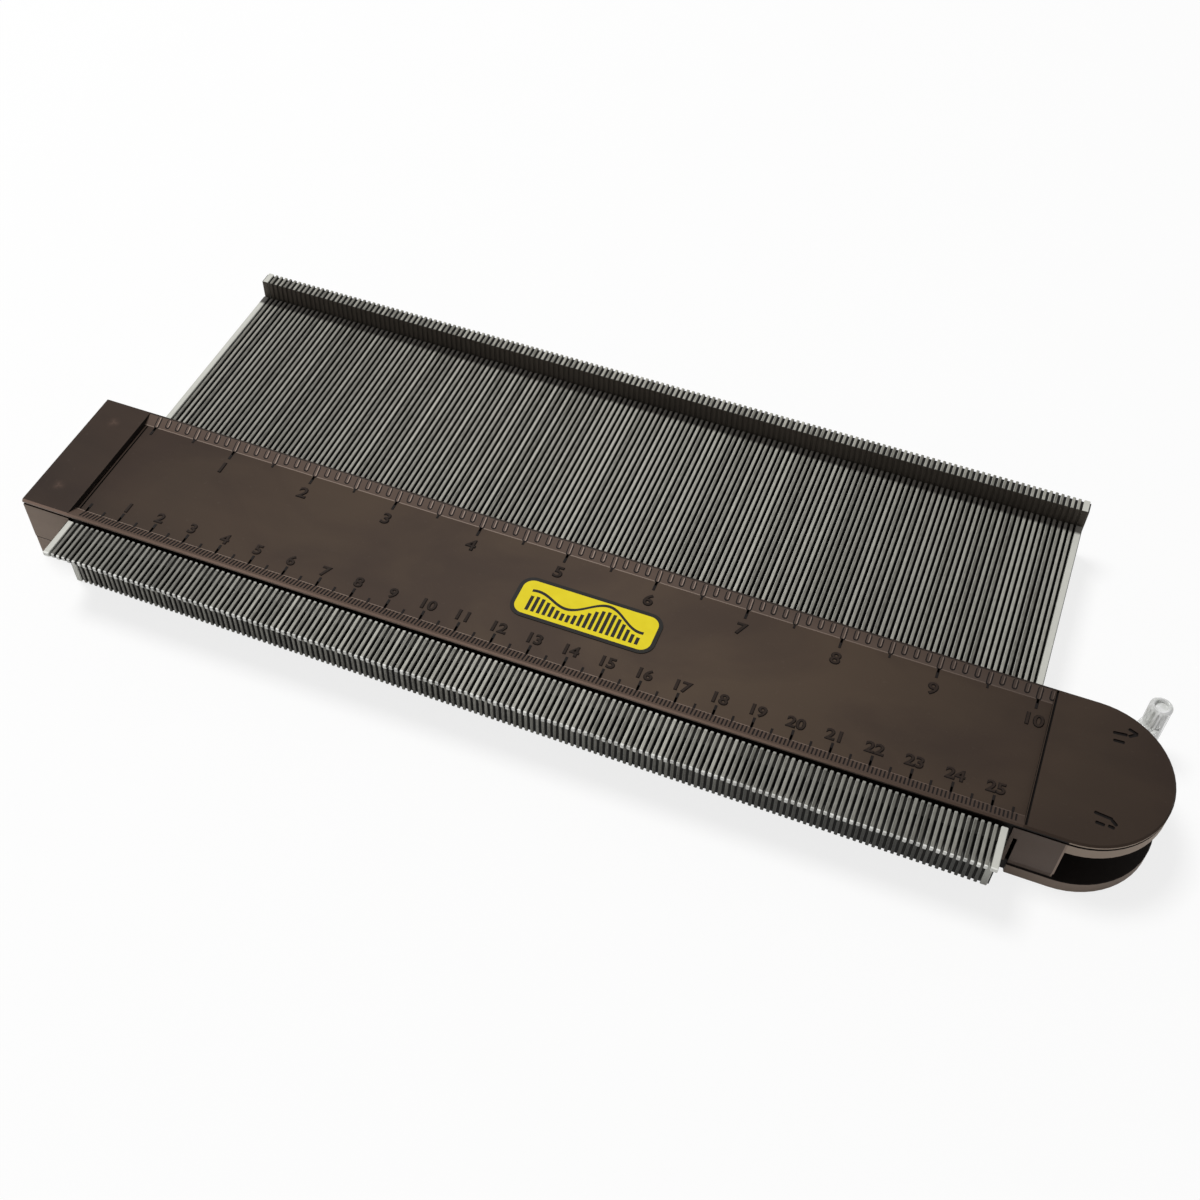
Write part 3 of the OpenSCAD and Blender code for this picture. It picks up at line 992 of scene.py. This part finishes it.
# %% Rib of one pin
rib_low, rib_high = 8.0, 13.0
web_in = 0.4
web_gap = 0.004
head_end, tab_end = head_back - web_in, tab_front + web_in
riser_lean = 0.2


def on_riser(c, n):
    return n.y < -riser_lean and c.y > tab_front - hair and c.z > shank_high - relief


def pin_rib():
    """The spacing rib of the first pin with its two webs."""
    spread = (pin_gap - web_gap) / 2
    rib = block("Rib", (-spread, head_end, rib_low), (pin_width + spread, tab_end, rib_high))
    pull(rib, lambda c, n: n.y < -straight, (0, 2 * web_in - foot_depth, 0))
    pull(rib, lambda c, n: n.y > straight, (0, tab_back - tab_front - 2 * web_in, 0))
    pull(rib, lambda c, n: n.z > straight and c.y < head_end, (0, 0, nose_high - web_in - rib_high))
    pull(rib, lambda c, n: n.z > straight and c.y > tab_end, (0, 0, tab_high - web_in - rib_high))
    pull(rib, lambda c, n: n.z < -straight and not head_end < c.y < tab_end,
         (0, 0, foot_low + web_in - rib_low))
    return rib


rib = pin_rib()
# The riser faces and the whole rib take painted shade.
paint(blade, pin_finish, (riser_shade_finish, on_riser))
paint(rib, web_shade_finish, (riser_shade_finish, on_riser))
pin = join("Pin", [blade, rib])
print("faces of one pin:", len(pin.data.polygons))

# %% [markdown]
# The stack is 160 copies of that pin. Four neighbours slide as one group here, so each group is one
# piece on its own slider. The first and the last pin of the real stack are thicker, so the far side of
# those two copies is moved outwards, and their outer sides keep the plain pin coat, without the painted
# shade of the gaps. The noses were not trimmed quite alike, so their tips differ.

# %% Pin groups
nose_spread = 0.3
golden_step = 0.618
# The plain pin coat, without painted gap shade, for the outer sides of the end pins.
open_side_coat = 0


def thicken(mesh, outward):
    """Makes an end pin thicker and gives its outer side the plain coat, without painted gap shade."""
    for face in mesh.polygons:
        if face.normal.x * outward > straight:
            face.material_index = open_side_coat
    for vertex in mesh.vertices:
        if vertex.co.x > pin_width * MM / 2:
            vertex.co.x += end_extra * MM


def pin_copy(number):
    """A copy of the pin at its place in the stack."""
    mesh = pin.data.copy()
    if number in (0, pin_count - 1):
        thicken(mesh, -1 if number == 0 else 1)
    for vertex in mesh.vertices:
        if vertex.co.y < (nose_front + tip_reach) * MM:
            vertex.co.y += nose_spread * (number * golden_step % 1) * MM
    lead = 0 if number == 0 else end_extra
    mesh.transform(Matrix.Translation(((stack_start + number * pin_pitch + lead) * MM, 0, 0)))
    piece = bpy.data.objects.new("Pin_copy", mesh)
    bpy.context.scene.collection.objects.link(piece)
    return piece


for group in range(1, group_count + 1):
    members = [pin_copy((group - 1) * pins_per_group + place) for place in range(pins_per_group)]
    stack = join(f"Pins_{group:02d}", members)
    fit(stack, f"slider_{group:02d}", "pin", f"pins_{group:02d}")
bpy.data.objects.remove(pin)

# %% [markdown]
# The lever's cam hub, arm and finger post are one moulding. The copy of its solid gets a round along
# its edges, which the light then runs along as on clear plastic. An inset makes the shallow dish in the top
# of the post, where a fingertip rests. The screws, the pivot and the label stay as their CAD solids, and
# only get their finish.

# %% Lever, screws, pivot and label
post = Vector((147.4, 28.1))
post_reach, post_neck = 3.3, 17
round_shading = 40
level = 0.95
dish_reach, dish_rim, dish_depth = 2, 0.55, 1.0
lever_high = span("clamp_lever")[1].z


def on_lever_bores(start, stop):
    """True for an edge of the pivot hole or of the round side of the finger post."""
    post_side = all((p.xy - post).length < post_reach and p.z < post_neck for p in (start, stop))
    return near_bore(start, stop) or post_side


def on_post_top(c, n):
    return n.z > level and c.z > lever_high - hair and (c.xy - post).length < dish_reach


lever = moulded_copy("clamp_lever", "Clamp_lever", radius=0.4, segments=2, skip=on_lever_bores,
                     shading=round_shading)
choose(lever, "FACE", on_post_top)
bpy.ops.mesh.inset(thickness=dish_rim * MM, depth=0)
bpy.ops.mesh.extrude_region_move(TRANSFORM_OT_translate={"value": (0, 0, -dish_depth * MM)})
leave()
smooth(lever, round_shading)
paint(lever, lever_finish)
fit(lever, "lever", "lever", "clamp_lever")
paint(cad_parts["shell_screws"], steel_finish)
paint(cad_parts["lever_pivot"], steel_finish)
paint(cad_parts["label_plate"], label_finish)

# %% [markdown]
# The rule tray carries two scales on its sloped edges. Millimetres run along the front and eighths of
# an inch along the back. Each mark is a small raised bar that lies on the slope, or on the flat beside it.
# One bar of each kind is made, and an Array modifier repeats it along the rule.

# %% Scale marks
tray_floor = 20.5
slope = math.atan2(shell_high.z - tray_floor, rim_half - tray_half)
cm_length, inch_length = 256, 10.125 * inch
front_rule = (-1, cm_zero, cm_length)
back_rule = (1, inch_zero, inch_length)
mark_sink = 0.05
mark_chamfer = 0.3
count_play = 0.001


def scale_marks(name, rule, pitch, reach, width, height, flat=False, round_off=0.0):
    """A row of raised bars on one sloped strip, or on the flat tray beside it."""
    side, zero, length = rule
    ends = sorted(side * end for end in reach)
    bar = block(name, (-width / 2, ends[0], -mark_sink), (width / 2, ends[1], height))
    if round_off:
        bevel(bar, lambda a, b: abs(a.z - b.z) > height / 2, round_off, 2)
    bevel(bar, lambda a, b: min(a.z, b.z) > height / 2, min(width, height) * mark_chamfer, 1)
    focus(bar)
    bar.rotation_euler.x = 0 if flat else side * slope
    bar.location = Vector((zero, side * tray_half, tray_floor)) * MM
    settle()
    apply_modifier(
        bar, "ARRAY", count=int(length / pitch + count_play) + 1, use_relative_offset=False,
        use_constant_offset=True, constant_offset_displace=(pitch * MM, 0, 0))
    return bar


millimetres = join("Millimetre_marks", [
    scale_marks("mm", front_rule, pitch=1, reach=(0.4, 3.2), width=0.40, height=0.10),
    scale_marks("five", front_rule, pitch=5, reach=(-1.4, 0.2), width=0.58, height=0.12, flat=True),
    scale_marks("ten", front_rule, pitch=10, reach=(-2.9, 0.3), width=0.66, height=0.12, flat=True),
])
# The marks are painted nearly black, as the shade of their relief.
paint(millimetres, mark_shade_finish)
fit(millimetres, "housing", "shell")

# %% [markdown]
# The inch marks are broader: a rounded ridge with a dark line of painted shade round it. The line is a
# second, wider and lower bar under the ridge. Half and whole inches also have a short bar on the flat.

# %% Inch marks
outline = {"width": 1.5, "round_off": 0.6}
ridge = {"width": 0.85, "round_off": 0.4}
outlines = join("Inch_outlines", [
    scale_marks("eighth_edge", back_rule, pitch=inch / 8, reach=(0.7, 3.55), height=0.03, **outline),
    scale_marks("half_edge", back_rule, pitch=inch / 2, reach=(-0.2, 3.55), height=0.05, **outline),
    scale_marks("half", back_rule, pitch=inch / 2, reach=(-1.3, 0.1), width=0.58, height=0.12, flat=True),
    scale_marks("inch", back_rule, pitch=inch, reach=(-3.0, 0.3), width=0.70, height=0.12, flat=True),
])
paint(outlines, mark_shade_finish)
fit(outlines, "housing", "shell")
ridges = join("Inch_ridges", [
    scale_marks("eighth", back_rule, pitch=inch / 8, reach=(1.0, 3.5), height=0.14, **ridge),
    scale_marks("half", back_rule, pitch=inch / 2, reach=(0.1, 3.5), height=0.15, **ridge),
])
paint(ridges, ridge_finish)
fit(ridges, "housing", "shell")

# %% [markdown]
# The numbers of both scales stand up from the tray. Text objects give their shapes, and a wide bevel slopes
# their edges. They are made meshes before they are put in place. The slopes are painted nearly black,
# as shade, and the flat tops are a little paler.

# %% Numerals
cap_share = 0.72
numeral_stretch = 1.08
numeral_rise, numeral_body, numeral_slope, numeral_swell = 0.06, 0.04, 0.17, 0.03
cm_row, cm_height, last_cm = -12.4, 3.2, 25
inch_row, inch_height, last_inch = 10.6, 3.7, 10


def numeral(value, x, y, height):
    """A raised number centred on a point of the tray floor."""
    bpy.ops.object.text_add()
    text = bpy.context.object
    shape = text.data
    shape.body = str(value)
    shape.align_x = "CENTER"
    shape.align_y = "CENTER"
    shape.size = height * MM / cap_share
    shape.extrude = numeral_body * MM
    shape.bevel_depth = numeral_slope * MM
    shape.offset = numeral_swell * MM
    shape.bevel_resolution = 0
    shape.resolution_u = 3
    bpy.ops.object.convert(target="MESH")
    text.scale = (numeral_stretch, 1, 1)
    text.location = Vector((x, y, tray_floor + numeral_rise)) * MM
    settle()
    return bpy.context.object


def on_top(c, n):
    return n.z > level


numerals = [numeral(value, cm_zero + 10 * value, cm_row, cm_height) for value in range(1, last_cm + 1)]
numerals += [
    numeral(value, inch_zero + inch * value, inch_row, inch_height) for value in range(1, last_inch + 1)]
numerals = join("Rule_numerals", numerals)
paint(numerals, mark_shade_finish, (numeral_finish, on_top))
fit(numerals, "housing", "shell")

# %% [markdown]
# The gauge lies on white paper. For the camera the paper glows a little, as a light table does, so the
# shadow stays but is pale. Light Path tells the camera's rays apart, and those that a gloss or clear
# plastic sends on.

# %% Floor
glow_share = 0.8
white = (1, 1, 1, 1)
floor_size = 8
floor_drop = 0.1


def seen_rays(wire):
    """A mask of the rays that come from the camera, from a gloss or through clear plastic."""
    camera, glossy, through = (
        wire.node("ShaderNodeLightPath", {}, {}, f"Is {kind} Ray")
        for kind in ("Camera", "Glossy", "Transmission"))
    return camera.math("MAXIMUM", glossy.math("MAXIMUM", through))


def floor_paper(name):
    """White paper with the faintest mottle, that keeps a pale shadow."""
    finish = Finish(name)
    mottle = finish.noise(30, 3)
    finish.feed(
        Base_Color=finish.blend(mottle, colour("f8f8f7"), colour("fcfcfc")), Roughness=0.9,
        Specular_IOR_Level=0.1)
    glow = finish.start.node("ShaderNodeEmission", {}, {"Color": white, "Strength": 1.0})
    body = Wire(finish.tree, finish.shader.outputs[0])
    share = seen_rays(finish.start) * glow_share
    mixed = finish.start.node("ShaderNodeMixShader", {}, {0: share, 1: body, 2: glow})
    finish.tree.links.new(mixed.socket, finish.tree.nodes["Material Output"].inputs["Surface"])
    return finish.material


bpy.ops.mesh.primitive_plane_add(size=floor_size, location=(0, 0, -floor_drop * MM))
floor = bpy.context.object
floor.name = "Floor"
paint(floor, floor_paper("floor_paper"))
print("floor laid:", floor.name)

# %% [markdown]
# One large soft lamp hangs over the gauge, to the left and a little behind, so the pins shade the gaps
# between them and the rear tabs shade their feet. A white world fills the rest. It is weak for the object
# and plain white where the camera sees it.

# %% Light
lamp_place, lamp_aim = Vector((-1.00, 0.30, 2.45)), Vector((0, 0.02, 0))
lamp_size, lamp_power = 0.8, 54
fill = 0.25

scene = bpy.context.scene
light = bpy.data.lights.new("Top_lamp", "AREA")
light.size = lamp_size
light.energy = lamp_power
lamp = bpy.data.objects.new("Top_lamp", light)
lamp.location = lamp_place
lamp.rotation_euler = (lamp_aim - lamp_place).to_track_quat("-Z", "Y").to_euler()
scene.collection.objects.link(lamp)

scene.world = bpy.data.worlds.new("Studio")
scene.world.use_nodes = True
sky = scene.world.node_tree
background = sky.nodes["Background"].inputs
background["Color"].default_value = white
strength = fill + seen_rays(Wire(sky)) * (1 - fill)
sky.links.new(strength.socket, background["Strength"])
print(f"lamp of {light.energy:.0f} W, world at {fill}")

# %% [markdown]
# The camera stands where the photographer stood: in front, to the right and above, turned a little about
# its own axis. Its three axes are worked out from those angles.

# %% Camera
sensor, lens = 36, 45.88
azimuth, elevation, roll = math.radians(19.72), math.radians(50.91), math.radians(1.84)
stand = Vector((0.08976, -0.23179, 0.33154))

camera_data = bpy.data.cameras.new("Camera")
camera_data.sensor_width = sensor
camera_data.lens = lens
camera = bpy.data.objects.new("Camera", camera_data)
away = Vector((math.sin(azimuth), -math.cos(azimuth), 0)) * math.cos(elevation)
away.z = math.sin(elevation)
level_right = Vector((math.cos(azimuth), math.sin(azimuth), 0))
level_up = away.cross(level_right)
right = math.cos(roll) * level_right + math.sin(roll) * level_up
up = math.cos(roll) * level_up - math.sin(roll) * level_right
turn = Matrix((right, up, away)).transposed().to_4x4()
camera.matrix_world = Matrix.Translation(stand) @ turn
scene.collection.objects.link(camera)
scene.camera = camera
scene.view_settings.view_transform = "Standard"
print("camera at", [round(value, 4) for value in stand])
